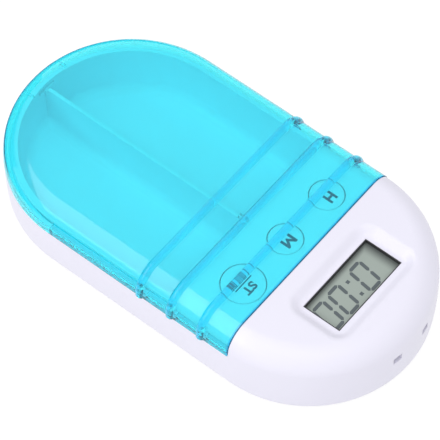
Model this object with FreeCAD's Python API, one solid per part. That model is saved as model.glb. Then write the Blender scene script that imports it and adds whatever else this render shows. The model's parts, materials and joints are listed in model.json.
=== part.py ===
import FreeCAD, Part
import math
import os
from FreeCAD import Vector

# Electronic pill box: two pill wells under a clear slide-off lid, a small clock in front.
# +Y points to the display end, +X is the reading direction, +Z is up. All sizes in millimetres.

# Outer form: a stadium whose section is a foot arc, a slightly barrelled side and a shoulder arc
LENGTH = 103.4
WIDTH = 55.0
HEIGHT = 19.7
FOOT_RADIUS = 3.9
SHOULDER_RADIUS = 5.4
BARREL_RADIUS = 77.0
BARREL_Z = 10.0
HALF_WIDTH = WIDTH / 2
CENTRE_Y = LENGTH / 2 - HALF_WIDTH
WALL = 1.6

# Lid
LID_WALL = 1.2
LID_PROUD = 0.15
LID_FRONT_Y = 24.1
LID_RIM_Z = 13.4
RIB_COUNT = 3
RIB_FIRST_Y = 0.75
RIB_PITCH = 8.08
RIB_RADIUS = 1.25
RIB_PROUD = 0.5
LIP_INNER_X = 25.35
LIP_TOP_Z = 14.45
LIP_SETBACK = 0.5
LIP_BREAK = 1.4
FIN_X = 5.25
FIN_THICKNESS = 0.4
FIN_FRONT_Y = -47.0
FIN_BOTTOM_Z = 17.6

# Seat of the lid on the housing
LEDGE_Z = 13.2
RISER_Y = 24.3
NECK_GAP = 0.45
LID_INSET = LID_WALL - LID_PROUD
NECK_OFFSET = LID_INSET + NECK_GAP
KEY_DECK_Z = HEIGHT - NECK_OFFSET
KEY_DECK_WALL = 1.2
GROOVE_TOP_Z = 14.75
GROOVE_X = 25.05

# Pill tray
TRAY_OUTER_X = 25.05
TRAY_RIM_X = 25.6
TRAY_RIM_Z = 16.0
TRAY_RIM_UNDERSIDE_Z = 14.9
TRAY_BOTTOM_Z = 2.0
TRAY_CORNER = 2.5
TRAY_FRONT_Y = 8.55
TRAY_GAP = 0.12
WELL_FLOOR_Z = 3.2
WELL_TOP_X = 24.2
WELL_FLOOR_X = 23.6
WELL_FRONT_Y = 7.5
WELL_FILLET = 2.2
DIVIDER_HALF = 0.42
DIVIDER_TOP_Z = 14.9
DIVIDER_REAR_Y = -47.4
DIVIDER_FOOT = 2.0
SLOT_HALF_WIDTH = 2.5
SLOT_LOW_Z = 14.0
SLOT_HIGH_Z = 15.2
SLOT_DEPTH = 0.7
RIM_FILLET = 0.3

# Electronics bay in the front of the housing
BAY_REAR_Y = 9.8
BAY_FLOOR_Z = 2.6
FRONT_BAY_Y = 26.0
NECK_BAY_TOP_Z = 12.0

# Display
LCD_Y = 35.55
WINDOW_HALF_X = 10.45
WINDOW_HALF_Y = 4.47
COLLAR_WALL = 0.2
COLLAR_GAP = 0.05
COLLAR_TOP_Z = 18.36
DISH_DEPTH = 1.24
DISH_Z = HEIGHT - DISH_DEPTH
DISH_HALF_X = 11.8
DISH_HALF_Y = 5.82
DISH_SLOPE = 1.9
DISH_CORNER = 2.0
DISH_FOOT_FILLET = 1.6
DISH_EDGE_FILLET = 1.8
LCD_TOP_Z = 17.55
LCD_HALF_X = 12.2
LCD_HALF_Y = 6.6
LCD_GLASS_TOP_Z = 17.35
LCD_GLASS_BOTTOM_Z = 15.35
LCD_FRAME_HALF_X = 13.35
LCD_FRAME_HALF_Y = 7.75
LCD_FRAME_TOP_Z = 17.8
LCD_POCKET_GAP = 0.2
LCD_POCKET_WALL = 1.2
LCD_POCKET_Z = 16.4
LCD_PANEL_GAP = 0.15
POLARISER_INSET = 0.3

# Circuit board
BOARD_BOTTOM_Z = 10.4
BOARD_TOP_Z = 11.6
BOARD_RADIUS = 23.8
BOARD_REAR_Y = 10.6
BOARD_NOTCH_GAP = 0.4
STRIP_WIDTH = 2.0
STRIP_HALF_LENGTH = 11.5
STRIP_INSET = 0.3

# Keys: name, x, radius of the cap
KEY_Y = 17.85
KEY_PITCH = 14.2
KEYS = (("hour", -KEY_PITCH, 3.8), ("minute", 0.0, 3.8), ("start", KEY_PITCH, 4.8))
KEY_GAP = 0.18
KEY_BOTTOM_Z = 15.95
KEY_FLANGE = 0.8
KEY_FLANGE_TOP_Z = 16.65
KEY_EDGE_FILLET = 0.25
SWITCH_SIDE = 6.0
SWITCH_CORNER = 0.5
SWITCH_TOP_Z = 15.1
SWITCH_LEG_Y = 2.25
SWITCH_LEG_OUT = 0.15
SWITCH_LEG_SIZE = (0.4, 0.7, 1.6)
PLUNGER_RADIUS = 1.65
PLUNGER_BOTTOM_Z = 14.5
PLUNGER_WELL_Z = 13.8
PLUNGER_GAP = 0.15

# Underside
COVER_RADIUS = 20.8
COVER_REAR_Y = 11.6
COVER_BOTTOM_Z = 0.15
COVER_TOP_Z = 1.55
COVER_GAP = 0.15
COVER_LEDGE = 1.4
COVER_LEDGE_Z = 1.6
COVER_SCREWS = ((-17.85, 28.24), (17.85, 28.24), (-10.6, 39.3), (10.6, 39.3))
COVER_BOSS_TOP_Z = 8.6
COVER_HOOK_X = 9.0
COVER_HOOK_HALF_WIDTH = 2.0
COVER_HOOK_WALL = 1.2
COVER_HOOK_REACH = 1.0
COVER_HOOK_LOW_Z = 2.7
COVER_HOOK_TOP_Z = 3.5
BOARD_SCREWS = ((-19.0, 26.4), (19.0, 26.4), (-7.2, 12.6), (7.2, 12.6))
BOSS_RADIUS = 2.0
SCREW_RADIUS = 0.95
SCREW_GAP = 0.15
PILOT_RADIUS = 1.0
SCREW_HEAD_RADIUS = 1.8
COVER_SCREW_HEAD_Z = 0.25
COVER_SCREW_NECK_Z = 1.2
COVER_SCREW_TIP_Z = 7.2
BOARD_SCREW_HEAD_Z = 9.2
BOARD_SCREW_TIP_Z = 15.4
RECESS_HALF_LENGTH = 0.9
RECESS_HALF_WIDTH = 0.2
RECESS_DEPTH = 0.6

# Cell, its holder and its cap
CELL_Y = 30.9
CELL_RADIUS = 10.0
CELL_BOTTOM_Z = 2.95
CELL_TOP_Z = 6.15
CELL_LID_STEP = 0.5
CELL_LID_INSET = 1.2
CELL_FILLET = 0.3
HOLDER_INNER = 10.25
HOLDER_OUTER = 11.25
HOLDER_STOP_REACH = 0.8
HOLDER_SLOT_HALF_WIDTH = 2.2
CAP_FLANGE_RADIUS = 11.3
CAP_BODY_RADIUS = 10.35
CAP_LUG_RADIUS = 11.2
CAP_HOLE_RADIUS = 10.5
CAP_FLANGE_TOP_Z = 0.95
CAP_LEDGE_Z = 1.1
CAP_RING_TOP_Z = 2.0
CAP_RING_RADIUS = 12.6
CAP_LUG_Z = 2.2
CAP_TOP_Z = 2.75
CAP_TURN_DEGREES = 45.0
CAP_LUG_HALF_ANGLE = 15.0
CAP_NOTCH_HALF_ANGLE = 20.0
CAP_GAP = 0.15
COIN_SLOT_HALF_LENGTH = 7.0
COIN_SLOT_HALF_WIDTH = 1.0
COIN_SLOT_TOP_Z = 1.3

# Contact springs: points along the path and height, then the strip's width
CONTACT_THICKNESS = 0.2
CONTACT_TOP_Z = 10.25
POSITIVE_WIDTH = 3.6
POSITIVE_PATH = ((-13.4, CONTACT_TOP_Z), (-11.0, CONTACT_TOP_Z), (-10.7, 9.6),
                 (-10.75, 6.4), (-10.16, 4.8), (-10.7, 3.4))
NEGATIVE_WIDTH = 3.0
NEGATIVE_PATH = ((-5.5, CONTACT_TOP_Z), (-2.0, CONTACT_TOP_Z), (2.2, 6.6), (3.4, 6.28), (4.6, 6.9))

# Sounder
BUZZER_X = 13.0
BUZZER_Y = 19.1
BUZZER_RADIUS = 6.0
BUZZER_BOTTOM_Z = 4.6
BUZZER_FILLET = 0.4
BUZZER_PORT_RADIUS = 1.2
BUZZER_PORT_DEPTH = 1.5
SOUND_HOLE_RADIUS = 0.6
SOUND_HOLE_PITCH = 2.4
SOUND_HOLE_COUNT = 6

# Small parts under the board: place, then sizes
CHIP_PLACE = (-13.5, 18.9)
CHIP_SPHERE_RADIUS = 8.0
CHIP_HEIGHT = 1.3
CRYSTAL_START = (-5.0, 15.4)
CRYSTAL_RADIUS = 1.0
CRYSTAL_LENGTH = 6.0
CRYSTAL_GAP = 0.05
CRYSTAL_FILLET = 0.25
TRANSISTOR_PLACE = (4.6, 15.6)
TRANSISTOR_SIZE = (2.9, 1.6, 1.1)
CAPACITOR_PLACE = (-19.5, 14.0)
CAPACITOR_SIZE = (3.2, 1.6, 1.4)
SMALL_PART_FILLET = 0.15
COIL_PLACE = (18.3, 13.0)
COIL_CORE_RADIUS = 1.6
COIL_FLANGE_RADIUS = 2.0
COIL_HEIGHT = 2.4
COIL_FLANGE = 0.5

# Lanyard bar in the front end
LANYARD_X = 4.7
LANYARD_Z = 10.9
LANYARD_HOLE_WIDTH = 2.3
LANYARD_HOLE_HEIGHT = 2.0
LANYARD_CHANNEL_REAR_Y = 47.6
LANYARD_BAR_REAR_Y = 49.6
LANYARD_BLOCK_REAR_Y = 46.4
LANYARD_BLOCK_HALF_X = 8.0
LANYARD_BLOCK_WALL = 1.4

BEYOND = 80.0
UP = Vector(0, 0, 1)


def block(x1, x2, y1, y2, z1, z2):
    """Box between two opposite corners."""
    return Part.makeBox(x2 - x1, y2 - y1, z2 - z1, Vector(x1, y1, z1))


def rod(x, y, radius, z1, z2):
    """Upright round bar."""
    return Part.makeCylinder(radius, z2 - z1, Vector(x, y, z1), UP)


def ring(x, y, outer, inner, z1, z2):
    """Upright tube."""
    return rod(x, y, outer, z1, z2).cut(rod(x, y, inner, z1, z2))


def cone(x, y, radius1, radius2, z1, z2):
    """Upright frustum."""
    return Part.makeCone(radius1, radius2, z2 - z1, Vector(x, y, z1), UP)


def join(first, others):
    """Fuse solids and merge the faces that continue each other."""
    return first.multiFuse(others).removeSplitter()


def section_point(centre, radius, angle):
    """Point of the section plane on a circle, angle in degrees from +X."""
    turn = math.radians(angle)
    return Vector(centre[0] + radius * math.cos(turn), 0, centre[1] + radius * math.sin(turn))


def section_arc(centre, radius, start, end):
    """Arc of the section plane between two angles."""
    points = [section_point(centre, radius, a) for a in (start, (start + end) / 2, end)]
    return Part.Arc(*points).toShape()


def section_centres():
    """Centres of the foot, barrel and shoulder arcs, and the angles where they meet."""
    barrel = (HALF_WIDTH - BARREL_RADIUS, BARREL_Z)
    foot_z = FOOT_RADIUS
    foot_x = barrel[0] + math.sqrt((BARREL_RADIUS - FOOT_RADIUS) ** 2 - (BARREL_Z - foot_z) ** 2)
    shoulder_z = HEIGHT - SHOULDER_RADIUS
    reach = BARREL_RADIUS - SHOULDER_RADIUS
    shoulder_x = barrel[0] + math.sqrt(reach ** 2 - (shoulder_z - BARREL_Z) ** 2)
    foot_angle = math.degrees(math.atan2(foot_z - barrel[1], foot_x - barrel[0]))
    shoulder_angle = math.degrees(math.atan2(shoulder_z - barrel[1], shoulder_x - barrel[0]))
    return (foot_x, foot_z), barrel, (shoulder_x, shoulder_z), foot_angle, shoulder_angle


def half_section(inset):
    """Right half of the outer section, moved inwards by inset all round."""
    foot, barrel, shoulder, foot_angle, shoulder_angle = section_centres()
    arcs = [
        section_arc(foot, FOOT_RADIUS - inset, -90, foot_angle),
        section_arc(barrel, BARREL_RADIUS - inset, foot_angle, shoulder_angle),
        section_arc(shoulder, SHOULDER_RADIUS - inset, shoulder_angle, 90),
    ]
    low = Vector(0, 0, inset)
    high = Vector(0, 0, HEIGHT - inset)
    bottom = Part.makeLine(low, Vector(foot[0], 0, inset))
    top = Part.makeLine(Vector(shoulder[0], 0, HEIGHT - inset), high)
    axis = Part.makeLine(high, low)
    return Part.Face(Part.Wire([bottom] + arcs + [top, axis]))


def tub_section(bottom_x, top_x, bottom_z, top_z, corner):
    """Right half of a tub section: flat floor, round corner, straight wall with draft."""
    lean = math.degrees(math.atan2(top_x - bottom_x, top_z - bottom_z))
    centre = (bottom_x - corner, bottom_z + corner)
    arc = section_arc(centre, corner, -90, -lean)
    wall_start = section_point(centre, corner, -lean)
    low = Vector(0, 0, bottom_z)
    high = Vector(0, 0, top_z)
    edges = [
        Part.makeLine(low, Vector(centre[0], 0, bottom_z)),
        arc,
        Part.makeLine(wall_start, Vector(top_x, 0, top_z)),
        Part.makeLine(Vector(top_x, 0, top_z), high),
        Part.makeLine(high, low),
    ]
    return Part.Face(Part.Wire(edges))


def stadium(half_face):
    """Solid of a half section taken round the stadium: two turned ends and a straight middle."""
    ends = []
    for side in (1, -1):
        face = half_face.copy()
        face.translate(Vector(0, side * CENTRE_Y, 0))
        ends.append(face.revolve(Vector(0, side * CENTRE_Y, 0), UP, side * 180))
    right = half_face.copy()
    right.translate(Vector(0, -CENTRE_Y, 0))
    middle = right.extrude(Vector(0, 2 * CENTRE_Y, 0))
    other = middle.mirror(Vector(0, 0, 0), Vector(1, 0, 0))
    return join(ends[0], [ends[1], middle, other])


def form(inset):
    """The outer form of the whole box, moved inwards by inset."""
    return stadium(half_section(inset))


def rounded_rectangle(half_x, half_y, corner, z):
    """Closed wire of a rectangle with round corners about the display centre."""
    turn = corner * (1 - math.sqrt(0.5))
    edges = []
    corners = ((1, 1), (-1, 1), (-1, -1), (1, -1))
    starts = []
    for sx, sy in corners:
        on_side = Vector(sx * half_x, LCD_Y + sy * (half_y - corner), z)
        on_end = Vector(sx * (half_x - corner), LCD_Y + sy * half_y, z)
        middle = Vector(sx * (half_x - turn), LCD_Y + sy * (half_y - turn), z)
        first, last = (on_side, on_end) if sx * sy > 0 else (on_end, on_side)
        starts.append((first, last))
        edges.append(Part.Arc(first, middle, last).toShape())
    for index in range(4):
        edges.append(Part.makeLine(starts[index][1], starts[(index + 1) % 4][0]))
    return Part.Wire(Part.__sortEdges__(edges))


def lcd_block(half_x, half_y, z1, z2):
    """Box about the display centre."""
    return block(-half_x, half_x, LCD_Y - half_y, LCD_Y + half_y, z1, z2)


def front_disc(radius, rear_y, z1, z2):
    """Plate with a straight rear edge, straight sides and a round front, as the front of the box."""
    disc = rod(0, CENTRE_Y, radius, z1, z2)
    return join(disc, [block(-radius, radius, rear_y, CENTRE_Y, z1, z2)]).common(
        block(-radius, radius, rear_y, BEYOND, z1, z2))


def strip(points, width):
    """Bent metal strip through the cell's axis: a path of (x, z) points, given a width."""
    upper = []
    lower = []
    for index, (x, z) in enumerate(points):
        before = points[max(index - 1, 0)]
        after = points[min(index + 1, len(points) - 1)]
        run = (after[0] - before[0], after[1] - before[1])
        size = math.hypot(*run)
        half = CONTACT_THICKNESS / 2 / size
        normal = (-run[1] * half, run[0] * half)
        upper.append(Vector(x + normal[0], CELL_Y - width / 2, z + normal[1]))
        lower.append(Vector(x - normal[0], CELL_Y - width / 2, z - normal[1]))
    outline = upper + lower[::-1] + [upper[0]]
    return Part.Face(Part.makePolygon(outline)).extrude(Vector(0, width, 0))


def make_lid():
    """Clear cap, a little proud of the housing: even wall, three ribs, side lips and rear fins."""
    inner = form(LID_INSET)
    keep = block(-BEYOND, BEYOND, -BEYOND, LID_FRONT_Y, LID_RIM_Z, BEYOND)
    cap = form(-LID_PROUD).cut(inner).common(keep)
    wall_middle = form(LID_INSET - LID_WALL / 2)
    pieces = []
    lip_ends = [-CENTRE_Y]
    for index in range(RIB_COUNT):
        y = RIB_FIRST_Y + index * RIB_PITCH
        pieces.append(make_rib(y).cut(inner).common(keep))
        lip_ends += [y - LIP_BREAK, y + LIP_BREAK]
    lip_ends.append(LID_FRONT_Y - LIP_SETBACK)
    for side in (1, -1):
        x1, x2 = sorted((side * LIP_INNER_X, side * HALF_WIDTH))
        for y1, y2 in zip(lip_ends[::2], lip_ends[1::2]):
            pieces.append(block(x1, x2, y1, y2, LID_RIM_Z, LIP_TOP_Z).common(wall_middle))
    for x in (-FIN_X, FIN_X):
        half = FIN_THICKNESS / 2
        fin = block(x - half, x + half, -BEYOND, FIN_FRONT_Y, FIN_BOTTOM_Z, BEYOND)
        pieces.append(fin.common(wall_middle))
    return join(cap, pieces)


def make_rib(y):
    """Round bar that follows the section of the box at one place along it."""
    foot, barrel, shoulder, foot_angle, shoulder_angle = section_centres()
    sunk = RIB_RADIUS - RIB_PROUD - LID_PROUD
    low_angle = math.degrees(math.asin((LID_RIM_Z - 2 * RIB_RADIUS - barrel[1]) / BARREL_RADIUS))
    side = section_arc(barrel, BARREL_RADIUS - sunk, low_angle, shoulder_angle)
    bend = section_arc(shoulder, SHOULDER_RADIUS - sunk, shoulder_angle, 90)
    top = Part.makeLine(Vector(shoulder[0], 0, HEIGHT - sunk), Vector(0, 0, HEIGHT - sunk))
    path = Part.Wire([side, bend, top])
    path.translate(Vector(0, y, 0))
    start = side.valueAt(side.FirstParameter)
    start.y = y
    direction = side.tangentAt(side.FirstParameter)
    circle = Part.Wire(Part.makeCircle(RIB_RADIUS, start, direction))
    half = path.makePipeShell([circle], True, False)
    return half.fuse(half.mirror(Vector(0, 0, 0), Vector(1, 0, 0)))


def make_housing():
    """White shell: outer form, lid seat, key deck, window, tray pocket and electronics bay."""
    everywhere = (-BEYOND, BEYOND)
    lid_space = block(*everywhere, -BEYOND, RISER_Y, LEDGE_Z, BEYOND)
    neck = form(NECK_OFFSET).common(block(*everywhere, TRAY_FRONT_Y + TRAY_GAP, BEYOND, 0, BEYOND))
    for side in (1, -1):
        x1, x2 = sorted((side * GROOVE_X, side * BEYOND))
        neck = neck.cut(block(x1, x2, -BEYOND, RISER_Y, LEDGE_Z, GROOVE_TOP_Z))
    shell = form(0).cut(lid_space.cut(neck))
    pocket = stadium(tub_section(TRAY_OUTER_X + TRAY_GAP, TRAY_OUTER_X + TRAY_GAP,
                                 TRAY_BOTTOM_Z - TRAY_GAP, LEDGE_Z + 1, TRAY_CORNER))
    shell = shell.cut(pocket.common(block(*everywhere, -BEYOND, TRAY_FRONT_Y + TRAY_GAP, 0, BEYOND)))
    wide = form(WALL)
    front_bay = wide.common(block(*everywhere, FRONT_BAY_Y, BEYOND, BAY_FLOOR_Z, BEYOND))
    low_bay = wide.common(block(*everywhere, BAY_REAR_Y, FRONT_BAY_Y, BAY_FLOOR_Z, NECK_BAY_TOP_Z))
    neck_bay = form(NECK_OFFSET + KEY_DECK_WALL).common(
        block(*everywhere, BAY_REAR_Y, FRONT_BAY_Y, BAY_FLOOR_Z, BEYOND))
    shell = shell.cut(join(front_bay, [low_bay, neck_bay]))
    shell = join(shell, housing_bosses())
    for tool in housing_cuts():
        shell = shell.cut(tool)
    return round_edges(shell, dish_edges(shell), DISH_EDGE_FILLET)


def housing_bosses():
    """Screw bosses, display pocket and lanyard block, trimmed to the inside of the shell."""
    bosses = [rod(x, y, BOSS_RADIUS, COVER_LEDGE_Z, COVER_BOSS_TOP_Z) for x, y in COVER_SCREWS]
    bosses += [rod(x, y, BOSS_RADIUS, BOARD_TOP_Z, HEIGHT) for x, y in BOARD_SCREWS]
    low = LANYARD_Z - LANYARD_HOLE_HEIGHT / 2 - LANYARD_BLOCK_WALL
    high = LANYARD_Z + LANYARD_HOLE_HEIGHT / 2 + LANYARD_BLOCK_WALL
    bosses.append(block(-LANYARD_BLOCK_HALF_X, LANYARD_BLOCK_HALF_X, LANYARD_BLOCK_REAR_Y, BEYOND, low, high))
    margin = LCD_POCKET_GAP + LCD_POCKET_WALL
    bosses.append(lcd_block(LCD_FRAME_HALF_X + margin, LCD_FRAME_HALF_Y + margin, LCD_POCKET_Z, HEIGHT))
    inside = form(WALL / 2)
    limit = form(NECK_OFFSET + KEY_DECK_WALL / 2)
    trimmed = []
    for boss in bosses:
        space = limit if boss.BoundBox.YMax < FRONT_BAY_Y else inside
        trimmed.append(boss.common(space))
    return trimmed


def housing_cuts():
    """Openings of the housing: window, keys, screw holes, cover seat and lanyard channel."""
    cuts = []
    cuts.append(dish())
    collar = COLLAR_WALL + COLLAR_GAP
    cuts.append(lcd_block(WINDOW_HALF_X + collar, WINDOW_HALF_Y + collar, BOARD_TOP_Z, BEYOND))
    cuts.append(lcd_block(LCD_FRAME_HALF_X + LCD_POCKET_GAP, LCD_FRAME_HALF_Y + LCD_POCKET_GAP,
                          BOARD_TOP_Z, LCD_FRAME_TOP_Z + COLLAR_GAP))
    for name, x, radius in KEYS:
        cuts.append(rod(x, KEY_Y, radius + KEY_GAP, BOARD_TOP_Z, HEIGHT))
    for x, y in COVER_SCREWS:
        cuts.append(rod(x, y, PILOT_RADIUS, 0, COVER_BOSS_TOP_Z - 1))
    for x, y in BOARD_SCREWS:
        cuts.append(rod(x, y, PILOT_RADIUS, BOARD_BOTTOM_Z, BOARD_SCREW_TIP_Z + 0.4))
    cuts.append(front_disc(COVER_RADIUS + COVER_GAP, COVER_REAR_Y - COVER_GAP, 0, COVER_LEDGE_Z))
    inner = front_disc(COVER_RADIUS - COVER_LEDGE, COVER_REAR_Y + COVER_LEDGE, 0, BAY_FLOOR_Z + 0.1)
    for x, y in COVER_SCREWS:
        inner = inner.cut(rod(x, y, BOSS_RADIUS, 0, HEIGHT))
    cuts.append(inner)
    cuts.append(lanyard_channel())
    return cuts


def dish():
    """Space of the dish round the window: sloping sides with a soft foot."""
    small = rounded_rectangle(DISH_HALF_X, DISH_HALF_Y, DISH_CORNER, DISH_Z)
    large = rounded_rectangle(DISH_HALF_X + DISH_SLOPE, DISH_HALF_Y + DISH_SLOPE,
                              DISH_CORNER + DISH_SLOPE, HEIGHT)
    space = Part.makeLoft([small, large], True, True)
    foot = [edge for edge in space.Edges if edge.BoundBox.ZMax < DISH_Z + 0.01]
    return round_edges(space, foot, DISH_FOOT_FILLET)


def dish_edges(shell):
    """Edges where the dish meets the flat top of the housing."""
    reach_x = DISH_HALF_X + DISH_SLOPE + 0.01
    reach_y = DISH_HALF_Y + DISH_SLOPE + 0.01
    found = []
    for edge in shell.Edges:
        box = edge.BoundBox
        at_top = box.ZMin > HEIGHT - 0.01
        inside_x = max(abs(box.XMin), abs(box.XMax)) < reach_x
        inside_y = max(abs(box.YMin - LCD_Y), abs(box.YMax - LCD_Y)) < reach_y
        if at_top and inside_x and inside_y:
            found.append(edge)
    return found


def lanyard_channel():
    """U-shaped way for a cord: in by one square hole, round the bar and out by the other."""
    half = LANYARD_HOLE_WIDTH / 2
    z1 = LANYARD_Z - LANYARD_HOLE_HEIGHT / 2
    z2 = LANYARD_Z + LANYARD_HOLE_HEIGHT / 2
    reach = LANYARD_X + half
    cross = block(-reach, reach, LANYARD_CHANNEL_REAR_Y, LANYARD_BAR_REAR_Y, z1, z2)
    legs = []
    for x in (-LANYARD_X, LANYARD_X):
        legs.append(block(x - half, x + half, LANYARD_CHANNEL_REAR_Y, BEYOND, z1, z2))
    return join(cross, legs)


def make_tray():
    """Insert with a rolled rim and two wells on either side of a thin divider."""
    body = stadium(tub_section(TRAY_OUTER_X, TRAY_OUTER_X, TRAY_BOTTOM_Z, TRAY_RIM_Z, TRAY_CORNER))
    rim = stadium(tub_section(TRAY_RIM_X, TRAY_RIM_X, TRAY_RIM_UNDERSIDE_Z, TRAY_RIM_Z, RIM_FILLET))
    whole = join(body, [rim]).common(block(-BEYOND, BEYOND, -BEYOND, TRAY_FRONT_Y, 0, BEYOND))
    well = stadium(tub_section(WELL_FLOOR_X, WELL_TOP_X, WELL_FLOOR_Z, TRAY_RIM_Z + 1, WELL_FILLET))
    feet = []
    for side in (1, -1):
        x1, x2 = sorted((side * DIVIDER_HALF, side * BEYOND))
        hollow = well.common(block(x1, x2, -BEYOND, WELL_FRONT_Y, 0, BEYOND))
        whole = whole.cut(round_edges(hollow, front_well_edges(hollow), WELL_FILLET - 0.2))
        feet.append(divider_foot(side).common(well))
    whole = join(whole, feet)
    well_rear_y = -CENTRE_Y - WELL_TOP_X
    whole = whole.cut(block(-DIVIDER_HALF, DIVIDER_HALF, well_rear_y, WELL_FRONT_Y,
                            DIVIDER_TOP_Z, TRAY_RIM_Z))
    whole = whole.cut(block(-DIVIDER_HALF, DIVIDER_HALF, well_rear_y, DIVIDER_REAR_Y,
                            SLOT_LOW_Z, TRAY_RIM_Z))
    whole = whole.cut(block(-SLOT_HALF_WIDTH, SLOT_HALF_WIDTH, well_rear_y - SLOT_DEPTH,
                            well_rear_y + 1, SLOT_LOW_Z, SLOT_HIGH_Z))
    rims = [edge for edge in whole.Edges if is_rim_edge(edge)]
    return round_edges(whole, rims, RIM_FILLET)


def is_rim_edge(edge):
    """True for the outer top edge of the tray's rim."""
    box = edge.BoundBox
    at_top = abs(box.ZMin - TRAY_RIM_Z) < 0.01 and abs(box.ZMax - TRAY_RIM_Z) < 0.01
    wide = box.XLength > 2 * TRAY_RIM_X - 1
    along = box.XLength < 0.01 and abs(abs(box.XMax) - TRAY_RIM_X) < 0.01
    return at_top and (wide or along)


def divider_foot(side):
    """Round fillet between the floor of a well and the divider."""
    centre_x = side * (DIVIDER_HALF + DIVIDER_FOOT)
    centre_z = WELL_FLOOR_Z + DIVIDER_FOOT
    x1, x2 = sorted((side * DIVIDER_HALF, centre_x))
    corner = block(x1, x2, -BEYOND, WELL_FRONT_Y, WELL_FLOOR_Z, centre_z)
    start = Vector(centre_x, -2 * BEYOND, centre_z)
    return corner.cut(Part.makeCylinder(DIVIDER_FOOT, 3 * BEYOND, start, Vector(0, 1, 0)))


def front_well_edges(hollow):
    """Floor and corner edges of a well along its front wall."""
    found = []
    for edge in hollow.Edges:
        box = edge.BoundBox
        at_floor = abs(box.ZMin - WELL_FLOOR_Z) < 0.01 and abs(box.ZMax - WELL_FLOOR_Z) < 0.01
        in_front = box.YLength < 0.01 and abs(box.YMax - WELL_FRONT_Y) < 0.01
        upright = box.ZLength > WELL_FILLET
        if in_front and (at_floor or upright):
            found.append(edge)
    return found


def round_edges(solid, edges, radius):
    """Fillet edges, and stop the build where the result isn't sound."""
    rounded = solid.makeFillet(radius, edges)
    if not rounded.isValid():
        raise ValueError("unsound fillet of radius " + str(radius))
    return rounded


def make_button(x, radius):
    """Key cap with a flange that keeps it under the deck."""
    cap = rod(x, KEY_Y, radius, KEY_BOTTOM_Z, KEY_DECK_Z)
    top = [edge for edge in cap.Edges if edge.BoundBox.ZMin > KEY_DECK_Z - 0.01]
    flange = rod(x, KEY_Y, radius + KEY_FLANGE, KEY_BOTTOM_Z, KEY_FLANGE_TOP_Z)
    return join(round_edges(cap, top, KEY_EDGE_FILLET), [flange])


def make_switch_case(x):
    """Square switch with four legs, open on top for its plunger."""
    half = SWITCH_SIDE / 2
    case = block(x - half, x + half, KEY_Y - half, KEY_Y + half, BOARD_TOP_Z, SWITCH_TOP_Z)
    upright = [edge for edge in case.Edges if edge.BoundBox.ZLength > 1]
    case = round_edges(case, upright, SWITCH_CORNER)
    thick, wide, tall = SWITCH_LEG_SIZE
    legs = []
    for side_x in (-1, 1):
        for side_y in (-1, 1):
            leg_x = x + side_x * (half + SWITCH_LEG_OUT)
            leg_y = KEY_Y + side_y * SWITCH_LEG_Y
            legs.append(block(leg_x - thick / 2, leg_x + thick / 2, leg_y - wide / 2, leg_y + wide / 2,
                              BOARD_TOP_Z, BOARD_TOP_Z + tall))
    well = rod(x, KEY_Y, PLUNGER_RADIUS + PLUNGER_GAP, PLUNGER_WELL_Z, SWITCH_TOP_Z)
    return join(case, legs).cut(well)


def make_lcd_frame():
    """Black frame on the board: walls round the panel, a lip over it and the window collar."""
    window = lcd_block(WINDOW_HALF_X, WINDOW_HALF_Y, 0, HEIGHT)
    walls = lcd_block(LCD_FRAME_HALF_X, LCD_FRAME_HALF_Y, BOARD_TOP_Z, LCD_FRAME_TOP_Z)
    inside = lcd_block(LCD_HALF_X + LCD_PANEL_GAP, LCD_HALF_Y + LCD_PANEL_GAP, BOARD_TOP_Z, LCD_TOP_Z)
    collar = lcd_block(WINDOW_HALF_X + COLLAR_WALL, WINDOW_HALF_Y + COLLAR_WALL, LCD_TOP_Z, COLLAR_TOP_Z)
    return join(walls.cut(inside), [collar]).cut(window)


def make_board():
    """Circuit board with its front notch and its screw holes."""
    board = front_disc(BOARD_RADIUS, BOARD_REAR_Y, BOARD_BOTTOM_Z, BOARD_TOP_Z)
    notch_half = LANYARD_BLOCK_HALF_X + BOARD_NOTCH_GAP
    notch_rear_y = LANYARD_BLOCK_REAR_Y - BOARD_NOTCH_GAP
    board = board.cut(block(-notch_half, notch_half, notch_rear_y, BEYOND, 0, BEYOND))
    for x, y in BOARD_SCREWS:
        board = board.cut(rod(x, y, SCREW_RADIUS + SCREW_GAP, 0, HEIGHT))
    return board


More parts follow.
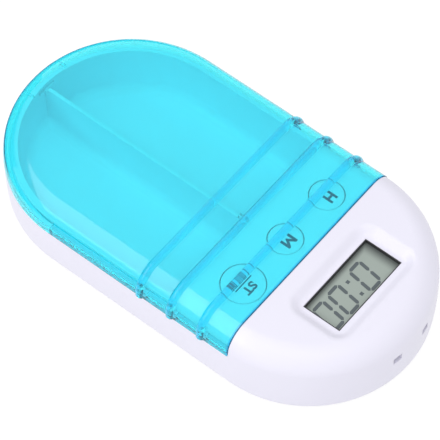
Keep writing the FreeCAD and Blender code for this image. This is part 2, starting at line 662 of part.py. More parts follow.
def make_cover():
    """Plate in the underside with hooks, cap seat, sound holes and screw holes."""
    plate = front_disc(COVER_RADIUS, COVER_REAR_Y, COVER_BOTTOM_Z, COVER_TOP_Z)
    extras = [rod(0, CELL_Y, CAP_RING_RADIUS, COVER_BOTTOM_Z, CAP_RING_TOP_Z)]
    post_y = COVER_REAR_Y + COVER_LEDGE + COVER_GAP
    for x in (-COVER_HOOK_X, COVER_HOOK_X):
        x1 = x - COVER_HOOK_HALF_WIDTH
        x2 = x + COVER_HOOK_HALF_WIDTH
        y2 = post_y + COVER_HOOK_WALL
        extras.append(block(x1, x2, post_y, y2, COVER_BOTTOM_Z, COVER_HOOK_TOP_Z))
        extras.append(block(x1, x2, post_y - COVER_HOOK_REACH, y2, COVER_HOOK_LOW_Z, COVER_HOOK_TOP_Z))
    plate = join(plate, extras)
    plate = plate.cut(rod(0, CELL_Y, CAP_FLANGE_RADIUS + CAP_GAP, 0, CAP_LEDGE_Z))
    plate = plate.cut(rod(0, CELL_Y, CAP_HOLE_RADIUS, 0, BEYOND))
    plate = plate.cut(cap_lugs(CAP_LUG_RADIUS + CAP_GAP, CAP_NOTCH_HALF_ANGLE, CAP_TURN_DEGREES, 0, BEYOND))
    for x, y in sound_holes():
        plate = plate.cut(rod(x, y, SOUND_HOLE_RADIUS, 0, COVER_TOP_Z))
    for x, y in COVER_SCREWS:
        plate = plate.cut(rod(x, y, SCREW_RADIUS + SCREW_GAP, 0, CAP_RING_TOP_Z))
        plate = plate.cut(rod(x, y, BOSS_RADIUS + COVER_GAP, COVER_TOP_Z, CAP_RING_TOP_Z))
        plate = plate.cut(cone(x, y, SCREW_HEAD_RADIUS + SCREW_GAP, SCREW_RADIUS + SCREW_GAP,
                               COVER_BOTTOM_Z, COVER_SCREW_NECK_Z))
    return plate


def sound_holes():
    """Centre hole and six round it, under the sounder."""
    places = [(BUZZER_X, BUZZER_Y)]
    for index in range(SOUND_HOLE_COUNT):
        turn = 2 * math.pi * index / SOUND_HOLE_COUNT
        x = BUZZER_X + SOUND_HOLE_PITCH * math.cos(turn)
        y = BUZZER_Y + SOUND_HOLE_PITCH * math.sin(turn)
        places.append((x, y))
    return places


def cap_lugs(radius, half_angle, turn, z1, z2):
    """Two opposite wedges out to radius, centred on the Y axis of the cap and turned by an angle."""
    wedges = []
    for start in (90.0, 270.0):
        wedge = Part.makeCylinder(radius, z2 - z1, Vector(0, 0, z1), UP, 2 * half_angle)
        wedge.rotate(Vector(0, 0, 0), UP, start - half_angle + turn)
        wedge.translate(Vector(0, CELL_Y, 0))
        wedges.append(wedge)
    return wedges[0].fuse(wedges[1])


def make_battery_cap():
    """Coin-turn cap: flange, body, two bayonet lugs and the coin slot."""
    cap = rod(0, CELL_Y, CAP_FLANGE_RADIUS, COVER_BOTTOM_Z, CAP_FLANGE_TOP_Z)
    body = rod(0, CELL_Y, CAP_BODY_RADIUS, COVER_BOTTOM_Z, CAP_TOP_Z)
    lugs = cap_lugs(CAP_LUG_RADIUS, CAP_LUG_HALF_ANGLE, 0, CAP_LUG_Z, CAP_TOP_Z)
    cap = join(cap, [body, lugs])
    length = COIN_SLOT_HALF_LENGTH
    half = COIN_SLOT_HALF_WIDTH
    slot = block(-length, length, CELL_Y - half, CELL_Y + half, 0, COIN_SLOT_TOP_Z)
    ends = [rod(x, CELL_Y, half, 0, COIN_SLOT_TOP_Z) for x in (-length, length)]
    return cap.cut(join(slot, ends))


def make_cell():
    """Coin cell: wide can, narrower lid on the side of the board."""
    can = rod(0, CELL_Y, CELL_RADIUS, CELL_BOTTOM_Z, CELL_TOP_Z - CELL_LID_STEP)
    lid = rod(0, CELL_Y, CELL_RADIUS - CELL_LID_INSET, CELL_BOTTOM_Z, CELL_TOP_Z)
    rim = [edge for edge in can.Edges if edge.BoundBox.ZLength < 0.01]
    return join(round_edges(can, rim, CELL_FILLET), [lid])


def make_cell_holder():
    """Ring under the board, slotted at one side for the positive contact."""
    holder = ring(0, CELL_Y, HOLDER_OUTER, HOLDER_INNER, CELL_BOTTOM_Z, BOARD_BOTTOM_Z)
    stop = ring(0, CELL_Y, HOLDER_OUTER, HOLDER_INNER - HOLDER_STOP_REACH, CELL_TOP_Z + 0.1, BOARD_BOTTOM_Z)
    half = HOLDER_SLOT_HALF_WIDTH
    slot = block(-BEYOND, HOLDER_STOP_REACH - CELL_RADIUS, CELL_Y - half, CELL_Y + half, 0, BEYOND)
    return join(holder, [stop]).cut(slot)


def make_buzzer():
    """Round sounder on the board with its sound port facing down."""
    can = rod(BUZZER_X, BUZZER_Y, BUZZER_RADIUS, BUZZER_BOTTOM_Z, BOARD_BOTTOM_Z)
    rim = [edge for edge in can.Edges if edge.BoundBox.ZMax < BUZZER_BOTTOM_Z + 0.01]
    can = round_edges(can, rim, BUZZER_FILLET)
    port_top = BUZZER_BOTTOM_Z + BUZZER_PORT_DEPTH
    return can.cut(rod(BUZZER_X, BUZZER_Y, BUZZER_PORT_RADIUS, BUZZER_BOTTOM_Z, port_top))


def make_cover_screws():
    """Countersunk self-tapping screws with a cross recess."""
    screws = []
    for x, y in COVER_SCREWS:
        head = cone(x, y, SCREW_HEAD_RADIUS, SCREW_RADIUS, COVER_SCREW_HEAD_Z, COVER_SCREW_NECK_Z)
        screw = join(head, [rod(x, y, SCREW_RADIUS, COVER_SCREW_HEAD_Z, COVER_SCREW_TIP_Z)])
        screws.append(screw.cut(cross_recess(x, y, COVER_SCREW_HEAD_Z)))
    return Part.makeCompound(screws)


def make_board_screws():
    """Pan-head screws that hold the board under the deck."""
    screws = []
    for x, y in BOARD_SCREWS:
        head = rod(x, y, SCREW_HEAD_RADIUS, BOARD_SCREW_HEAD_Z, BOARD_BOTTOM_Z)
        screw = join(head, [rod(x, y, SCREW_RADIUS, BOARD_SCREW_HEAD_Z, BOARD_SCREW_TIP_Z)])
        screws.append(screw.cut(cross_recess(x, y, BOARD_SCREW_HEAD_Z)))
    return Part.makeCompound(screws)


def cross_recess(x, y, z):
    """Cross for the driver, in a head whose lower face is at z."""
    long = RECESS_HALF_LENGTH
    half = RECESS_HALF_WIDTH
    top = z + RECESS_DEPTH
    bar = block(x - long, x + long, y - half, y + half, z, top)
    return join(bar, [block(x - half, x + half, y - long, y + long, z, top)])


def make_contact_strip(side):
    """Elastomer strip between the display and the board."""
    y = LCD_Y + side * (LCD_HALF_Y - STRIP_WIDTH / 2 - STRIP_INSET)
    return block(-STRIP_HALF_LENGTH, STRIP_HALF_LENGTH, y - STRIP_WIDTH / 2, y + STRIP_WIDTH / 2,
                 BOARD_TOP_Z, LCD_GLASS_BOTTOM_Z)


def make_chip_cover():
    """Resin dome over the clock chip, under the board."""
    x, y = CHIP_PLACE
    low_z = BOARD_BOTTOM_Z - CHIP_HEIGHT
    dome = Part.makeSphere(CHIP_SPHERE_RADIUS, Vector(x, y, low_z + CHIP_SPHERE_RADIUS))
    return dome.common(rod(x, y, CHIP_SPHERE_RADIUS, low_z, BOARD_BOTTOM_Z))


def make_crystal():
    """Lying clock crystal can."""
    x, y = CRYSTAL_START
    start = Vector(x, y, BOARD_BOTTOM_Z - CRYSTAL_RADIUS - CRYSTAL_GAP)
    can = Part.makeCylinder(CRYSTAL_RADIUS, CRYSTAL_LENGTH, start, Vector(1, 0, 0))
    ends = [edge for edge in can.Edges if edge.BoundBox.XLength < 0.01]
    return round_edges(can, ends, CRYSTAL_FILLET)


def make_small_part(place, size):
    """Small moulded component under the board."""
    x, y = place
    length, width, height = size
    solid = block(x - length / 2, x + length / 2, y - width / 2, y + width / 2,
                  BOARD_BOTTOM_Z - height, BOARD_BOTTOM_Z)
    return round_edges(solid, solid.Edges, SMALL_PART_FILLET)


def make_boost_coil():
    """Drum core coil that lifts the voltage for the sounder."""
    x, y = COIL_PLACE
    low_z = BOARD_BOTTOM_Z - COIL_HEIGHT
    core = rod(x, y, COIL_CORE_RADIUS, low_z, BOARD_BOTTOM_Z)
    low_flange = rod(x, y, COIL_FLANGE_RADIUS, low_z, low_z + COIL_FLANGE)
    high_flange = rod(x, y, COIL_FLANGE_RADIUS, BOARD_BOTTOM_Z - COIL_FLANGE, BOARD_BOTTOM_Z)
    return join(core, [low_flange, high_flange])


def main():
    """Build every piece and write one file per node."""
    pieces = {
        "housing": make_housing(),
        "pill_tray": make_tray(),
        "lid": make_lid(),
        "bottom_cover": make_cover(),
        "battery_cap": make_battery_cap(),
        "lcd_frame": make_lcd_frame(),
        "lcd_glass": lcd_block(LCD_HALF_X, LCD_HALF_Y, LCD_GLASS_BOTTOM_Z, LCD_GLASS_TOP_Z),
        "lcd_polariser": lcd_block(LCD_HALF_X - POLARISER_INSET, LCD_HALF_Y - POLARISER_INSET,
                                   LCD_GLASS_TOP_Z, LCD_TOP_Z),
        "front_contact_strip": make_contact_strip(1),
        "rear_contact_strip": make_contact_strip(-1),
        "circuit_board": make_board(),
        "chip_cover": make_chip_cover(),
        "crystal_can": make_crystal(),
        "transistor": make_small_part(TRANSISTOR_PLACE, TRANSISTOR_SIZE),
        "capacitor": make_small_part(CAPACITOR_PLACE, CAPACITOR_SIZE),
        "boost_coil": make_boost_coil(),
        "buzzer": make_buzzer(),
        "cell_holder": make_cell_holder(),
        "button_cell": make_cell(),
        "positive_contact": strip(POSITIVE_PATH, POSITIVE_WIDTH),
        "negative_contact": strip(NEGATIVE_PATH, NEGATIVE_WIDTH),
        "cover_screws": make_cover_screws(),
        "board_screws": make_board_screws(),
    }
    for name, x, radius in KEYS:
        pieces[name + "_button"] = make_button(x, radius)
        pieces[name + "_switch_case"] = make_switch_case(x)
        pieces[name + "_switch_plunger"] = rod(x, KEY_Y, PLUNGER_RADIUS, PLUNGER_BOTTOM_Z, KEY_BOTTOM_Z)
    os.makedirs("parts", exist_ok=True)
    for name, shape in pieces.items():
        print(name, "solids", len(shape.Solids), "volume", round(shape.Volume, 1), "valid", shape.isValid())
        shape.exportStep("parts/" + name + ".step")


main()
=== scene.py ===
import json
import math

import bmesh
import bpy
from mathutils import Matrix, Vector


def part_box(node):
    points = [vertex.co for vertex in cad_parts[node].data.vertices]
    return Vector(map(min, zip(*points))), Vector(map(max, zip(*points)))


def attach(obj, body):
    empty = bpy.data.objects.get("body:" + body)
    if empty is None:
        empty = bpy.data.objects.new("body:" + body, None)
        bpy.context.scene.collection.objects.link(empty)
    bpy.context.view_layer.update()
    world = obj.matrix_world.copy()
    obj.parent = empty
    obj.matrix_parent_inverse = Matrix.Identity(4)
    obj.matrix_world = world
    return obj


# Electronic pill box: white case, clear light blue lid, small clock with three keys.
# Lengths in the code are millimetres and become metres through MM.
MM = 0.001
RIB_FIRST_Y = 0.75
RIB_PITCH = 8.08
RIB_TINT_BACK = 0.2
LID_FRONT_Y = 24.1
WINDOW_HALF_X = 10.45
WINDOW_HALF_Y = 4.47
WINDOW_Y = 35.55

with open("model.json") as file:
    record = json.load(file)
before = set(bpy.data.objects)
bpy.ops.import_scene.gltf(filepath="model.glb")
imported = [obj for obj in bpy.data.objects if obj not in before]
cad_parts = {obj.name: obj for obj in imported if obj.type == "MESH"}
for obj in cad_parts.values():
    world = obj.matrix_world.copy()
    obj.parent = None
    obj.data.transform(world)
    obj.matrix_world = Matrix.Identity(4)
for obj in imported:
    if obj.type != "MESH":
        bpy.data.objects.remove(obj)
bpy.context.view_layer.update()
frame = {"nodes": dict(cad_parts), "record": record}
case_nodes = frame["nodes"]


class Line:
    """One output of a material's nodes. Arithmetic on it adds the nodes that work it out."""

    def __init__(self, paint, socket):
        self.paint = paint
        self.socket = socket

    def math(self, operation, first, second=0.0):
        return self.paint.add("ShaderNodeMath", {"operation": operation}, {0: first, 1: second})

    def __add__(self, other):
        return self.math("ADD", self, other)

    def __sub__(self, other):
        return self.math("SUBTRACT", self, other)

    def __rsub__(self, other):
        return self.math("SUBTRACT", other, self)

    def __mul__(self, other):
        return self.math("MULTIPLY", self, other)

    def __gt__(self, other):
        return self.math("GREATER_THAN", self, other)

    def __abs__(self):
        return self.math("ABSOLUTE", self)

    __radd__ = __add__
    __rmul__ = __mul__


class Paint:
    """A material or a world built from expressions."""

    def __init__(self, owner):
        owner.use_nodes = True
        self.owner = owner
        self.tree = owner.node_tree
        self.tree.nodes.clear()

    def add(self, kind, settings=None, inputs=None, output=0):
        """A new node: settings first, then the values or links of its inputs."""
        node = self.tree.nodes.new(kind)
        settings = dict(settings or {})
        stops = settings.pop("stops", None)
        for name, value in settings.items():
            setattr(node, name, value)
        if stops:
            ramp = node.color_ramp
            while len(ramp.elements) < len(stops):
                ramp.elements.new(0.5)
            for element, (position, colour) in zip(ramp.elements, stops):
                element.position = position
                element.color = (*colour, 1)
        for name, value in (inputs or {}).items():
            if isinstance(value, Line):
                self.tree.links.new(value.socket, node.inputs[name])
            else:
                node.inputs[name].default_value = value
        return Line(self, node.outputs[output])

    def coords(self):
        return self.add("ShaderNodeTexCoord", output="Object")

    def noise(self, scale, detail=2.0, roughness=0.5, where=None):
        """Noise from 0 to 1, its grain given by scale per metre."""
        inputs = {"Vector": where or self.coords(), "Scale": scale, "Detail": detail, "Roughness": roughness}
        return self.add("ShaderNodeTexNoise", {}, inputs)

    def blend(self, share, first, second):
        """Colour from first to second as share goes from 0 to 1."""
        inputs = {0: share, 6: (*first, 1) if isinstance(first, tuple) else first,
                  7: (*second, 1) if isinstance(second, tuple) else second}
        return self.add("ShaderNodeMix", {"data_type": "RGBA"}, inputs, output=2)

    def place(self, axis):
        """Place along one axis of the box, in metres."""
        return self.add("ShaderNodeSeparateXYZ", {}, {"Vector": self.coords()}, output=axis)

    def fade(self, axis, start, width):
        """1 at a place along an axis and before it, falling softly to 0 over a width, in millimetres."""
        inputs = {"Value": self.place(axis), "From Min": start * MM, "From Max": (start + width) * MM,
                  "To Min": 1.0, "To Max": 0.0}
        return self.add("ShaderNodeMapRange", {"interpolation_type": "SMOOTHSTEP"}, inputs)

    def bump(self, height, depth, strength=1.0, rounding=0.0):
        """Normal from a height of 0 to 1 and a depth in metres, with edges rounded by a radius."""
        inputs = {"Height": height, "Distance": depth, "Strength": strength}
        if rounding:
            inputs["Normal"] = self.add("ShaderNodeBevel", {"samples": 6}, {"Radius": rounding})
        return self.add("ShaderNodeBump", {}, inputs)

    def finish(self, surface, volume=None, kind="ShaderNodeOutputMaterial"):
        """Connect the shaders to the output and hand back the material or world."""
        out = self.tree.nodes.new(kind)
        self.tree.links.new(surface.socket, out.inputs["Surface"])
        if volume:
            self.tree.links.new(volume.socket, out.inputs["Volume"])
        return self.owner


def new_paint(name):
    return Paint(bpy.data.materials.new(name))


def moulded_plastic(name, colour, shade, roughness, grain=2600.0, depth=0.004, rounding=0.18):
    """Opaque moulded plastic: faint cloudiness in the colour, fine grain in the gloss, soft edges."""
    paint = new_paint(name)
    cloud = paint.noise(55.0, 3.0)
    fine = paint.noise(grain, 2.0)
    surface = paint.add("ShaderNodeBsdfPrincipled", {}, {
        "Base Color": paint.blend(cloud, colour, shade),
        "Roughness": roughness + (fine - 0.5) * 0.10,
        "Normal": paint.bump(fine, depth * MM, 0.6, rounding * MM),
        "IOR": 1.48,
    })
    return paint.finish(surface)


def clear_plastic():
    """Clear light blue moulded plastic: the tint is in its depth, and lamps shine through. Its colour is deeper at
    the ribs, partly for their thicker plastic and partly as painted shade for the dark bands they throw; its milky
    share is raised at the rib ends on the −X side as painted light.
    """
    paint = new_paint("clear_light_blue")
    ripple = paint.noise(120.0, 2.0)
    along = paint.place("Y")
    ribs = 0.0
    for index in range(3):
        away = abs(along - (RIB_FIRST_Y + index * RIB_PITCH - RIB_TINT_BACK) * MM)
        ribs = paint.add("ShaderNodeMapRange", {"interpolation_type": "SMOOTHSTEP"}, {
            "Value": away, "From Min": 0.3 * MM, "From Max": 0.95 * MM, "To Min": 1.0, "To Max": 0.0}) + ribs
    # Deeper tint at the ribs: partly their thicker plastic, partly painted shade for the dark bands they throw.
    tint = paint.blend(ribs, (0.78, 0.99, 1.0), (0.20, 0.84, 1.0))
    edge = 1.0 - paint.fade("Y", LID_FRONT_Y - 0.45, 0.25)
    glass = paint.add("ShaderNodeBsdfPrincipled", {}, {
        "Base Color": paint.blend(edge, tint, (0.10, 0.50, 0.86)),
        "Roughness": 0.015,
        "IOR": 1.49,
        "Transmission Weight": 1.0,
        "Normal": paint.bump(ripple, 0.01 * MM, 0.5),
    })
    lamps = paint.add("ShaderNodeBsdfTransparent", {}, {"Color": (0.8485, 0.995, 1.0, 1)})
    shadow = paint.add("ShaderNodeLightPath", output="Is Shadow Ray")
    milky = paint.add("ShaderNodeBsdfPrincipled", {}, {"Base Color": (0.06, 0.80, 1.0, 1), "Roughness": 0.3})
    # Even haze, plus a milky share raised at the rib ends on the −X side only: painted light standing in for light
    # carried inside the lid to those ends.
    haze_and_painted_glow = 0.05 + ribs * 0.08 + ribs * paint.fade("X", -25.6, 1.0) * 0.65
    body = paint.add("ShaderNodeMixShader", {}, {0: haze_and_painted_glow, 1: glass, 2: milky})
    surface = paint.add("ShaderNodeMixShader", {}, {0: shadow, 1: body, 2: lamps})
    tint = paint.add("ShaderNodeVolumeAbsorption", {}, {"Color": (0.02, 0.968, 1.0, 1), "Density": 790.0})
    return paint.finish(surface, tint)


def metal(name, colour, roughness, grain=(2000.0, 2000.0, 2000.0)):
    """Plated metal with a drawn or tumbled grain."""
    paint = new_paint(name)
    where = paint.add("ShaderNodeMapping", {}, {"Vector": paint.coords(), "Scale": grain})
    fine = paint.noise(1.0, 3.0, where=where)
    surface = paint.add("ShaderNodeBsdfPrincipled", {}, {
        "Base Color": paint.blend(fine, colour, tuple(c * 0.86 for c in colour)),
        "Metallic": 1.0,
        "Roughness": roughness + (fine - 0.5) * 0.12,
        "Normal": paint.bump(fine, 0.004 * MM, 0.5),
    })
    return paint.finish(surface)


def board_laminate():
    """Green solder mask with paler tracks just under it."""
    paint = new_paint("board_laminate")
    where = paint.coords()
    ridges = paint.add("ShaderNodeTexBrick", {}, {
        "Vector": where, "Scale": 260.0, "Mortar Size": 0.12, "Color1": (0, 0, 0, 1),
        "Color2": (0, 0, 0, 1), "Mortar": (1, 1, 1, 1)}, output="Fac")
    cloud = paint.noise(90.0, 2.0)
    mask = paint.blend(cloud, (0.012, 0.13, 0.055), (0.02, 0.17, 0.075))
    surface = paint.add("ShaderNodeBsdfPrincipled", {}, {
        "Base Color": paint.blend(ridges * 0.5, mask, (0.05, 0.27, 0.12)),
        "Roughness": 0.32 + cloud * 0.1,
        "Normal": paint.bump(ridges, 0.03 * MM, 0.6),
    })
    return paint.finish(surface)


def display_panel():
    """Grey-green face of the display, with a painted shadow of the window frame darkening it along its −X end and
    its −Y edge.
    """
    paint = new_paint("display_face")
    cloud = paint.noise(140.0, 2.0)
    fine = paint.noise(5200.0, 1.0)
    # Painted shadow of the window frame: darker towards the −X end and the −Y edge of the window.
    shade = paint.fade("X", -WINDOW_HALF_X, 2.7) * 0.85
    shade = paint.add("ShaderNodeMath", {"operation": "MAXIMUM"}, {
        0: shade, 1: paint.fade("Y", WINDOW_Y - WINDOW_HALF_Y, 1.5) * 0.75})
    face = paint.blend(cloud, (0.31, 0.36, 0.33), (0.325, 0.375, 0.345))
    surface = paint.add("ShaderNodeBsdfPrincipled", {}, {
        "Base Color": paint.blend(shade, face, (0.06, 0.07, 0.07)),
        "Roughness": 0.30 + fine * 0.08,
        "Normal": paint.bump(fine, 0.001 * MM, 0.4),
        "IOR": 1.5,
    })
    return paint.finish(surface)


def ink(name, colour, shade, roughness):
    """Printed ink: slightly uneven coverage."""
    paint = new_paint(name)
    speck = paint.noise(3500.0, 3.0, 0.7)
    surface = paint.add("ShaderNodeBsdfPrincipled", {}, {
        "Base Color": paint.blend(speck, colour, shade),
        "Roughness": roughness + speck * 0.1,
        "Normal": paint.bump(speck, 0.002 * MM, 0.4),
    })
    return paint.finish(surface)


WHITE = (0.778, 0.764, 0.872)
WHITE_SHADE = (0.768, 0.754, 0.862)
# The tray's white is set paler than WHITE: painted light, standing in for brighter light under the lid. The keys
# use the same colour.
TRAY_WHITE = (0.88, 0.93, 1.0)
TRAY_SHADE = (0.87, 0.92, 0.99)


def shell_plastic():
    """White case plastic, painted paler where the lid covers it, as painted light standing in for brighter light
    under the lid.
    """
    paint = new_paint("white_shell_moulded")
    cloud = paint.noise(55.0, 3.0)
    fine = paint.noise(2600.0, 2.0)
    # Painted light: the case under the lid takes the paler tray white.
    painted_light_under_lid = paint.fade("Y", LID_FRONT_Y, 0.1) * (1.0 - paint.fade("Z", 13.0, 0.15))
    outside = paint.blend(cloud, WHITE, WHITE_SHADE)
    deck = paint.blend(cloud, TRAY_WHITE, TRAY_SHADE)
    surface = paint.add("ShaderNodeBsdfPrincipled", {}, {
        "Base Color": paint.blend(painted_light_under_lid, outside, deck),
        "Roughness": 0.33 + (fine - 0.5) * 0.10,
        "Normal": paint.bump(fine, 0.004 * MM, 0.6, 0.18 * MM),
        "IOR": 1.48,
    })
    return paint.finish(surface)


paints = {
    "white_shell": shell_plastic(),
    "white_tray": moulded_plastic("white_tray_moulded", TRAY_WHITE, TRAY_SHADE, 0.30),
    "white_key": moulded_plastic("white_key_moulded", TRAY_WHITE, TRAY_SHADE, 0.36, rounding=0.08),
    "white_cover": moulded_plastic("white_cover_moulded", (0.89, 0.875, 0.95), (0.875, 0.86, 0.935), 0.45,
                                   grain=1800.0, depth=0.012),
    "clear_blue": clear_plastic(),
    "black_frame": moulded_plastic("black_frame_moulded", (0.016, 0.016, 0.018), (0.024, 0.024, 0.026), 0.5,
                                   rounding=0.05),
    "display_film": display_panel(),
    "elastomer": moulded_plastic("grey_elastomer", (0.30, 0.30, 0.31), (0.36, 0.36, 0.37), 0.7, rounding=0.05),
    "board_laminate": board_laminate(),
    "black_resin": moulded_plastic("black_resin_drop", (0.012, 0.012, 0.012), (0.02, 0.02, 0.02), 0.12,
                                   grain=700.0, rounding=0.05),
    "bright_can": metal("bright_tinned_can", (0.78, 0.78, 0.79), 0.22),
    "black_moulding": moulded_plastic("black_part_moulding", (0.02, 0.02, 0.022), (0.03, 0.03, 0.032), 0.55,
                                      rounding=0.05),
    "tan_ceramic": moulded_plastic("tan_ceramic_body", (0.34, 0.20, 0.09), (0.40, 0.25, 0.12), 0.5, rounding=0.05),
    "ferrite": moulded_plastic("dark_ferrite", (0.05, 0.05, 0.055), (0.07, 0.07, 0.075), 0.6, grain=3500.0,
                               depth=0.02, rounding=0.05),
    "sounder_can": moulded_plastic("sounder_moulding", (0.02, 0.02, 0.022), (0.028, 0.028, 0.03), 0.5,
                                   rounding=0.05),
    "holder_plastic": moulded_plastic("holder_moulding", (0.74, 0.74, 0.75), (0.70, 0.70, 0.71), 0.45,
                                      rounding=0.08),
    "cell_steel": metal("cell_nickel_plate", (0.76, 0.76, 0.75), 0.26, (900.0, 6000.0, 900.0)),
    "contact_metal": metal("contact_spring_plate", (0.80, 0.78, 0.72), 0.24, (700.0, 7000.0, 700.0)),
    "screw_steel": metal("screw_zinc_plate", (0.66, 0.67, 0.69), 0.34),
    "switch_metal": metal("switch_tinned_plate", (0.74, 0.74, 0.74), 0.30),
    "plunger_black": moulded_plastic("plunger_moulding", (0.02, 0.02, 0.022), (0.03, 0.03, 0.03), 0.5,
                                     rounding=0.05),
}
paints["display_glass"] = paints["display_film"]

for part in frame["record"]["subparts"]:
    mesh = case_nodes[part["node"]].data
    mesh.materials.clear()
    mesh.materials.append(paints[part["material_slot"]])


def finish_piece(name, shape, paint, body):
    """Make an object of a bmesh whose lengths are millimetres, and let it ride on a body."""
    bmesh.ops.remove_doubles(shape, verts=shape.verts, dist=1e-4)
    bmesh.ops.recalc_face_normals(shape, faces=shape.faces)
    bmesh.ops.scale(shape, vec=(MM, MM, MM), verts=shape.verts)
    mesh = bpy.data.meshes.new(name)
    shape.to_mesh(mesh)
    shape.free()
    mesh.materials.append(paint)
    piece = bpy.data.objects.new(name, mesh)
    bpy.context.scene.collection.objects.link(piece)
    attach(piece, body)
    return piece


def raise_face(shape, corners, z, thickness):
    """Flat plate with the given corners, in millimetres, standing on z."""
    face = shape.faces.new([shape.verts.new((x, y, z)) for x, y in corners])
    grown = bmesh.ops.extrude_face_region(shape, geom=[face])["geom"]
    top = [v for v in grown if isinstance(v, bmesh.types.BMVert)]
    bmesh.ops.translate(shape, vec=(0, 0, thickness), verts=top)


# Printed marks on the keys
KEY_TOP_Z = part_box("hour_button")[1].z / MM
INK_HEIGHT = 0.03
navy_ink = ink("navy_print", (0.010, 0.030, 0.085), (0.014, 0.042, 0.110), 0.45)


def printed_word(name, word, centre, height, width, body, bold=0.0):
    """One printed word on a key, scaled to a height and a width in millimetres."""
    letters = bpy.data.curves.new(name, "FONT")
    letters.body = word
    letters.align_x = "CENTER"
    letters.align_y = "CENTER"
    letters.offset = bold
    writer = bpy.data.objects.new(name, letters)
    flat = bpy.data.meshes.new_from_object(writer)
    shape = bmesh.new()
    shape.from_mesh(flat)
    bmesh.ops.remove_doubles(shape, verts=shape.verts, dist=1e-5)
    grown = bmesh.ops.extrude_face_region(shape, geom=shape.faces[:])["geom"]
    top = [v for v in grown if isinstance(v, bmesh.types.BMVert)]
    bmesh.ops.translate(shape, vec=(0, 0, 1), verts=top)
    low = [min(v.co[axis] for v in shape.verts) for axis in range(3)]
    high = [max(v.co[axis] for v in shape.verts) for axis in range(3)]
    middle = Vector([-(low[0] + high[0]) / 2, -(low[1] + high[1]) / 2, 0])
    bmesh.ops.translate(shape, vec=middle, verts=shape.verts)
    size = (width / (high[0] - low[0]), height / (high[1] - low[1]), INK_HEIGHT)
    bmesh.ops.scale(shape, vec=size, verts=shape.verts)
    bmesh.ops.translate(shape, vec=(centre[0], centre[1], KEY_TOP_Z), verts=shape.verts)
    bpy.data.objects.remove(writer)
    bpy.data.meshes.remove(flat)
    return finish_piece(name, shape, navy_ink, body)


def printed_m(name, centre, body):
    """Bold letter M on a key, drawn as one outline."""
    right = [(0, -0.95), (0.83, 0.25), (0.83, -1.3), (1.45, -1.3), (1.45, 1.3), (0.88, 1.3), (0, 0.1)]
    left = [(-x, y) for x, y in right[-2:0:-1]]
    shape = bmesh.new()
    raise_face(shape, [(centre[0] + x, centre[1] + y) for x, y in right + left], KEY_TOP_Z, INK_HEIGHT)
    return finish_piece(name, shape, navy_ink, body)


def key_centre(name):
    low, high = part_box(name + "_button")
    return (low.x + high.x) / 2 / MM, (low.y + high.y) / 2 / MM


hour_x, key_y = key_centre("hour")
minute_x = key_centre("minute")[0]
start_x = key_centre("start")[0]
printed_word("hour_mark", "H", (hour_x, key_y + 0.9), 2.6, 2.2, "hour_key", 0.035)
printed_m("minute_mark", (minute_x, key_y + 0.9), "minute_key")
printed_word("start_mark", "ST", (start_x, key_y + 1.75), 2.1, 3.2, "start_key", 0.03)
printed_word("on_off_mark", "ON/OFF", (start_x, key_y - 1.55), 1.6, 5.6, "start_key", 0.012)
bar = bmesh.new()
raise_face(bar, [(start_x - 2.6, key_y - 0.12), (start_x + 2.6, key_y - 0.12),
                 (start_x + 2.6, key_y + 0.14), (start_x - 2.6, key_y + 0.14)], KEY_TOP_Z, INK_HEIGHT)
finish_piece("start_bar", bar, navy_ink, "start_key")

# Digits of the display
panel_low, panel_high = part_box("lcd_polariser")
PANEL_Z = panel_high.z / MM
DIGIT_WIDTH = 3.35
DIGIT_HEIGHT = 7.17
DIGIT_LEAN = 0.13
DIGIT_RAISED = 0.455
STROKE = 0.8
SEGMENT_GAP = 0.12


def inside_window(corners):
    """Corners of a flat shape, cut off at the window's right edge."""
    limit = WINDOW_HALF_X - 0.02
    kept = []
    for first, second in zip(corners, corners[1:] + corners[:1]):
        if first.x <= limit:
            kept.append(first)
        if (first.x <= limit) != (second.x <= limit):
            kept.append(first.lerp(second, (limit - first.x) / (second.x - first.x)))
    return kept


def segment(shape, centre, start, end):
    """One bar of a leaning figure, with pointed ends; its ends are given about the figure's centre."""
    along = (Vector(end) - Vector(start)).normalized()
    across = Vector((-along.y, along.x)) * STROKE / 2
    inner = along * STROKE / 2
    start = Vector(start) + along * SEGMENT_GAP
    end = Vector(end) - along * SEGMENT_GAP
    corners = [start, start + inner + across, end - inner + across, end, end - inner - across,
               start + inner - across]
    leaning = [Vector((centre[0] + c.x + DIGIT_LEAN * c.y, centre[1] + c.y)) for c in corners]
    kept = inside_window(leaning)
    if len(kept) > 2:
        raise_face(shape, [(c.x, c.y) for c in kept], PANEL_Z, 0.02)


def zero(shape, x):
    """Six-bar figure 0 at a place along the window."""
    half_x = DIGIT_WIDTH / 2
    half_y = (DIGIT_HEIGHT - STROKE) / 2
    turns = [(-half_x, half_y), (half_x, half_y), (half_x, 0), (half_x, -half_y), (-half_x, -half_y),
             (-half_x, 0)]
    for start, end in zip(turns, turns[1:] + turns[:1]):
        segment(shape, (x, WINDOW_Y + DIGIT_RAISED), start, end)


def colon_dot(shape, x, y, half=0.4):
    """Square dot of the colon."""
    y += WINDOW_Y
    raise_face(shape, [(x - half, y - half), (x + half, y - half), (x + half, y + half), (x - half, y + half)],
               PANEL_Z, 0.02)


figures = bmesh.new()
for place in (-3.68, 3.71, 8.82):
    zero(figures, place)
colon_dot(figures, -0.28, -1.45)
colon_dot(figures, 0.17, 2.52)
figure_ink = ink("display_figures", (0.075, 0.095, 0.105), (0.09, 0.11, 0.12), 0.4)
finish_piece("display_figures", figures, figure_ink, "case")

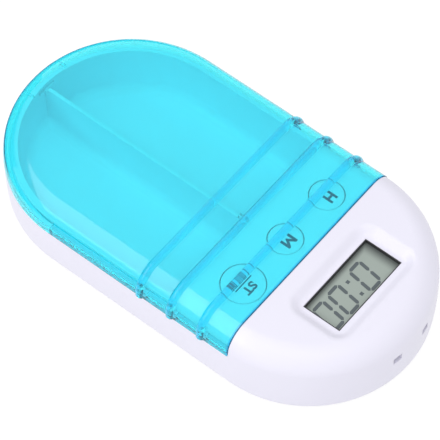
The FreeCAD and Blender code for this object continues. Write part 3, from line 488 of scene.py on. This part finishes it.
# Floor
floor_shape = bmesh.new()
bmesh.ops.create_grid(floor_shape, x_segments=1, y_segments=1, size=3.0)
bmesh.ops.translate(floor_shape, vec=(0, 0, -0.0002), verts=floor_shape.verts)
floor_mesh = bpy.data.meshes.new("floor")
floor_shape.to_mesh(floor_mesh)
floor_shape.free()
floor = bpy.data.objects.new("floor", floor_mesh)
bpy.context.scene.collection.objects.link(floor)


def seen_directly(paint):
    """1 for what the camera meets, directly, in a gloss or through the lid; otherwise 0."""
    total = 0.0
    for name in ("Is Camera Ray", "Is Glossy Ray", "Is Transmission Ray"):
        total = paint.add("ShaderNodeLightPath", output=name) + total
    return paint.add("ShaderNodeClamp", {}, {"Value": total})


def floor_paint():
    """White floor that keeps a faint shadow, open to a look from below."""
    paint = new_paint("white_floor")
    seen = seen_directly(paint)
    colour = paint.blend(seen, (0.85, 0.85, 0.86), (0.22, 0.22, 0.22))
    matt = paint.add("ShaderNodeBsdfDiffuse", {}, {"Color": colour})
    glow = paint.add("ShaderNodeEmission", {}, {"Color": (1, 1, 1, 1), "Strength": seen * 0.83})
    top = paint.add("ShaderNodeAddShader", {}, {0: matt, 1: glow})
    below = paint.add("ShaderNodeNewGeometry", output="Backfacing")
    open_below = paint.add("ShaderNodeBsdfTransparent")
    return paint.finish(paint.add("ShaderNodeMixShader", {}, {0: below, 1: top, 2: open_below}))


floor_mesh.materials.append(floor_paint())



def dark_card(name, corners):
    """Card that darkens reflections and throws no shadow; corners in metres."""
    shape = bmesh.new()
    shape.faces.new([shape.verts.new(corner) for corner in corners])
    card_mesh = bpy.data.meshes.new(name)
    shape.to_mesh(card_mesh)
    shape.free()
    card_mesh.materials.append(ink("blue_cloth", (0.03, 0.13, 0.40), (0.04, 0.15, 0.43), 0.9))
    card = bpy.data.objects.new(name, card_mesh)
    bpy.context.scene.collection.objects.link(card)
    card.visible_camera = False
    card.visible_diffuse = False
    card.visible_transmission = False
    card.visible_shadow = False


dark_card("rear_card_low", [(-0.30, -0.70, 0.0005), (0.30, -0.70, 0.0005), (0.30, -0.06, 0.0005),
                            (-0.30, -0.06, 0.0005)])
dark_card("rear_card_high", [(-0.30, -0.70, 0.0005), (0.30, -0.70, 0.0005), (0.30, -0.70, 0.28),
                             (-0.30, -0.70, 0.28)])

# World: even white, seen as white
world = bpy.data.worlds.new("studio")
bpy.context.scene.world = world
sky = Paint(world)
level = seen_directly(sky) * 0.235 + 0.765
background = sky.add("ShaderNodeBackground", {}, {"Color": (1, 1, 1, 1), "Strength": level})
sky.finish(background, kind="ShaderNodeOutputWorld")


def softbox(name, place, along, width, height, power, facing=None, gloss_only=False):
    """Rectangular lamp aimed at the box, lengths in metres; gloss_only is seen in reflections alone.

    Its width runs in the direction along, and the lid's own shadow paint lets it through once.
    It shines against the direction facing, or straight at the box where none is given.
    """
    lamp = bpy.data.lights.new(name, "AREA")
    lamp.shape = "RECTANGLE"
    lamp.size = width
    lamp.size_y = height
    lamp.energy = power
    holder = bpy.data.objects.new(name, lamp)
    bpy.context.scene.collection.objects.link(holder)
    away = Vector(facing or place).normalized()
    across = away.cross(Vector(along)).normalized()
    turned = Matrix((across.cross(away), across, away)).transposed().to_4x4()
    holder.matrix_world = Matrix.Translation(place) @ turned
    holder.visible_diffuse = not gloss_only
    holder.visible_glossy = gloss_only
    holder.visible_transmission = False


softbox("side_softbox", (0.62, -0.26, 0.40), (0.26, 0.62, 0), 0.50, 0.16, 1.06)
softbox("top_softbox", (0.25, 0.20, 0.75), (1, 0, 0), 0.5, 0.5, 2.17)
softbox("shoulder_glow", (0.316, -0.295, 0.486), (0.9511, 0, -0.3090), 0.90, 0.31, 2.05, (0.3090, 0, 0.9511), True)

# Camera
AZIMUTH, ELEVATION, ROLL = 128.33, 56.86, 0.43
DISTANCE, SHIFT_RIGHT, SHIFT_UP = 650.0, 0.31, 4.77
FOCAL_PIXELS = 3003.11


def set_camera():
    """Camera at the photograph's viewing angle."""
    turn, rise, roll = (math.radians(a) for a in (AZIMUTH, ELEVATION, ROLL))
    back = Vector((math.sin(turn) * math.cos(rise), -math.cos(turn) * math.cos(rise), math.sin(rise)))
    level_right = Vector((math.cos(turn), math.sin(turn), 0))
    level_up = back.cross(level_right)
    right = level_right * math.cos(roll) + level_up * math.sin(roll)
    up = level_up * math.cos(roll) - level_right * math.sin(roll)
    place = (back * DISTANCE + right * SHIFT_RIGHT + up * SHIFT_UP) * MM
    eye = bpy.data.cameras.new("camera")
    eye.sensor_fit = "HORIZONTAL"
    eye.sensor_width = 36.0
    eye.lens = FOCAL_PIXELS / 440 * 36.0
    eye.clip_start = 0.01
    eye.clip_end = 20.0
    holder = bpy.data.objects.new("camera", eye)
    bpy.context.scene.collection.objects.link(holder)
    turned = Matrix((right, up, back)).transposed().to_4x4()
    holder.matrix_world = Matrix.Translation(place) @ turned
    bpy.context.scene.camera = holder


set_camera()
bpy.context.scene.view_settings.view_transform = "Standard"
